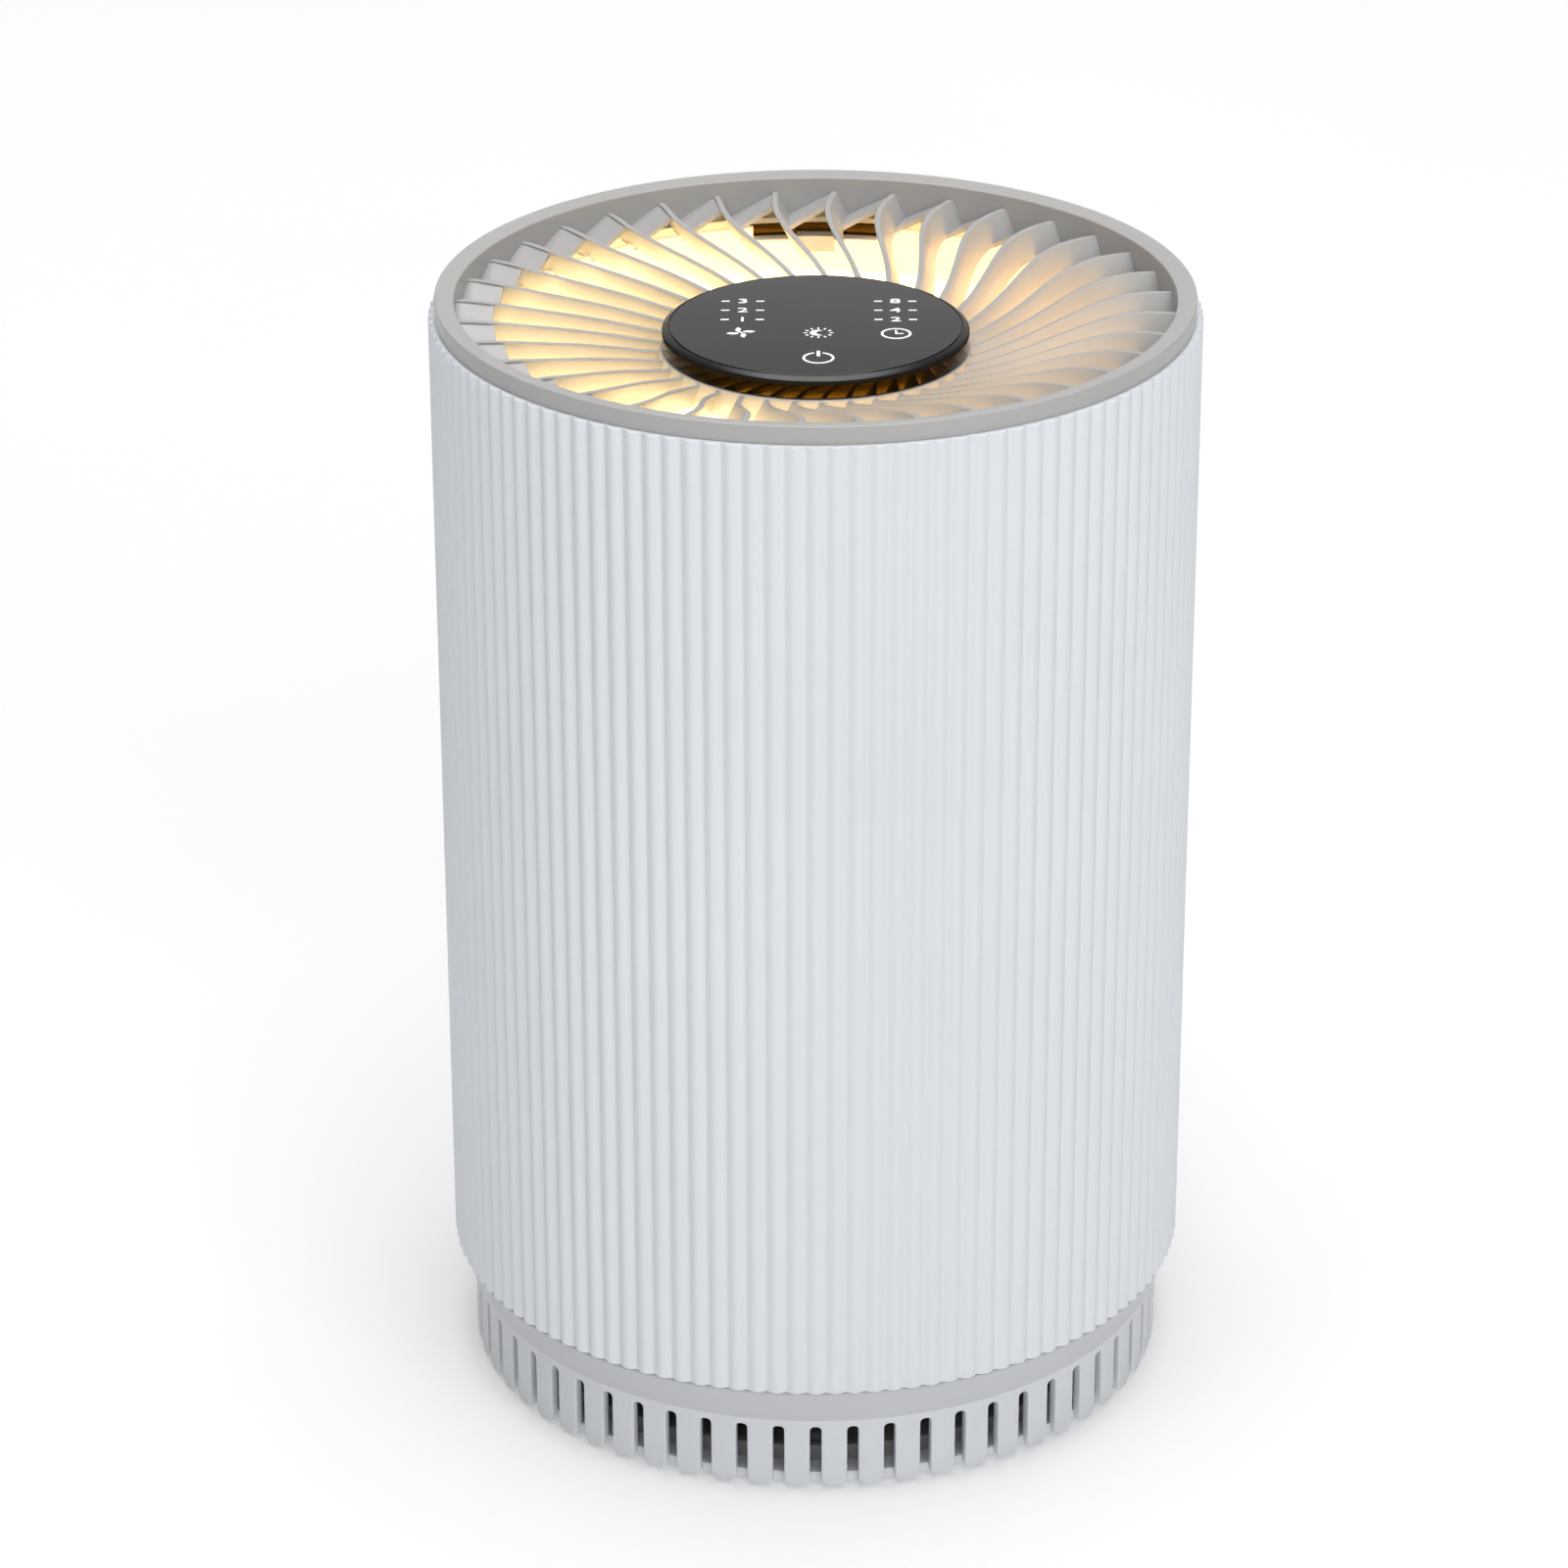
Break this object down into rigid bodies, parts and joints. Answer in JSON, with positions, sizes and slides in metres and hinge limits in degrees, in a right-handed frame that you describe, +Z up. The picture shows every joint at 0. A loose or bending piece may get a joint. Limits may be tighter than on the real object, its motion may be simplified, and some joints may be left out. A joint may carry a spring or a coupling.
{
  "type": "air purifier",
  "caption": "Cylindrical desktop air purifier: fluted casing that twists off a slotted base, cartridge filter, fan, lit dished grille and round touch panel.",
  "frame": {"origin": "centre of the footprint, on the floor under the rubber feet", "axes": "+Z up along the fan axis, front (the reading side of the touch panel) towards -Y, power inlet at the rear towards +Y"},
  "size_m": [0.17, 0.17, 0.2574],
  "materials": {
    "shell_white": "satin moulded ABS",
    "base_white": "satin moulded ABS",
    "grille_grey": "satin moulded ABS, warm light grey",
    "inner_white": "matt moulded ABS",
    "inner_grey": "matt moulded ABS",
    "black_plastic": "matt",
    "panel_black": "high gloss, printed icons",
    "smoked_trim": "smoked amber mirror finish",
    "rubber_foot": "matt",
    "foam": "open cell foam",
    "filter_paper": "pleated fibre sheet",
    "carbon_fabric": "carbon loaded felt",
    "net_fabric": "fine woven net",
    "filter_cap": "matt",
    "zinc_steel": "zinc plated",
    "motor_steel": "stamped sheet",
    "magnet": "bonded ferrite",
    "copper_wire": "enamelled copper",
    "circuit_board": "green solder mask",
    "cable_black": "PVC jacket",
    "reflector_white": "matt white",
    "led_warm": "lit",
    "diffuser": "translucent, lit",
    "led_white": "clear"
  },
  "bodies": {
    "base": {"base_skirt": "base_white", "base_floor": "inner_grey", "base_screws": "zinc_steel", "foot_pads": "rubber_foot"},
    "filter": {"filter_bottom_cap": "filter_cap", "filter_media": "filter_paper", "carbon_sleeve": "carbon_fabric", "prefilter_net": "net_fabric", "filter_top_cap": "filter_cap", "filter_seal": "foam"},
    "casing": {"outer_shell": "shell_white", "inner_housing": "inner_white", "dc_inlet": "black_plastic", "power_lead": "cable_black", "fan_deck": "inner_white", "deck_screws": "zinc_steel", "fan_guard": "black_plastic", "guard_screws": "zinc_steel", "fan_duct": "inner_white", "motor_bracket": "inner_white", "bracket_screws": "zinc_steel", "lower_bearing": "zinc_steel", "upper_bearing": "zinc_steel", "motor_stator": "motor_steel", "motor_windings": "copper_wire", "motor_board": "circuit_board", "board_parts": "black_plastic", "board_screws": "zinc_steel", "motor_cover": "reflector_white", "cover_screws": "zinc_steel", "light_reflector": "reflector_white", "led_strip": "circuit_board", "leds": "led_warm", "light_diffuser": "diffuser", "liner_clip": "grille_grey", "top_grille": "grille_grey", "panel_housing": "reflector_white", "panel_trim": "smoked_trim", "touch_panel": "panel_black", "control_board": "circuit_board", "touch_pads": "foam", "indicator_leds": "led_white", "panel_cable": "cable_black"},
    "impeller": {"impeller": "inner_white", "rotor_cup": "motor_steel", "rotor_magnets": "magnet", "motor_shaft": "zinc_steel", "shaft_clip": "motor_steel"}
  },
  "joints": [
    {"name": "body_twist", "type": "hinge", "parent": "base", "child": "filter", "pos_m": [0, 0, 0.03], "axis": [0, 0, 1], "range_deg": [0, 18]},
    {"name": "body_lift", "type": "slide", "parent": "filter", "child": "casing", "axis": [0, 0, 1], "range_m": [0, 0.17]},
    {"name": "impeller_spin", "type": "hinge", "parent": "casing", "child": "impeller", "pos_m": [0, 0, 0.185], "axis": [0, 0, 1], "continuous": true}
  ]
}
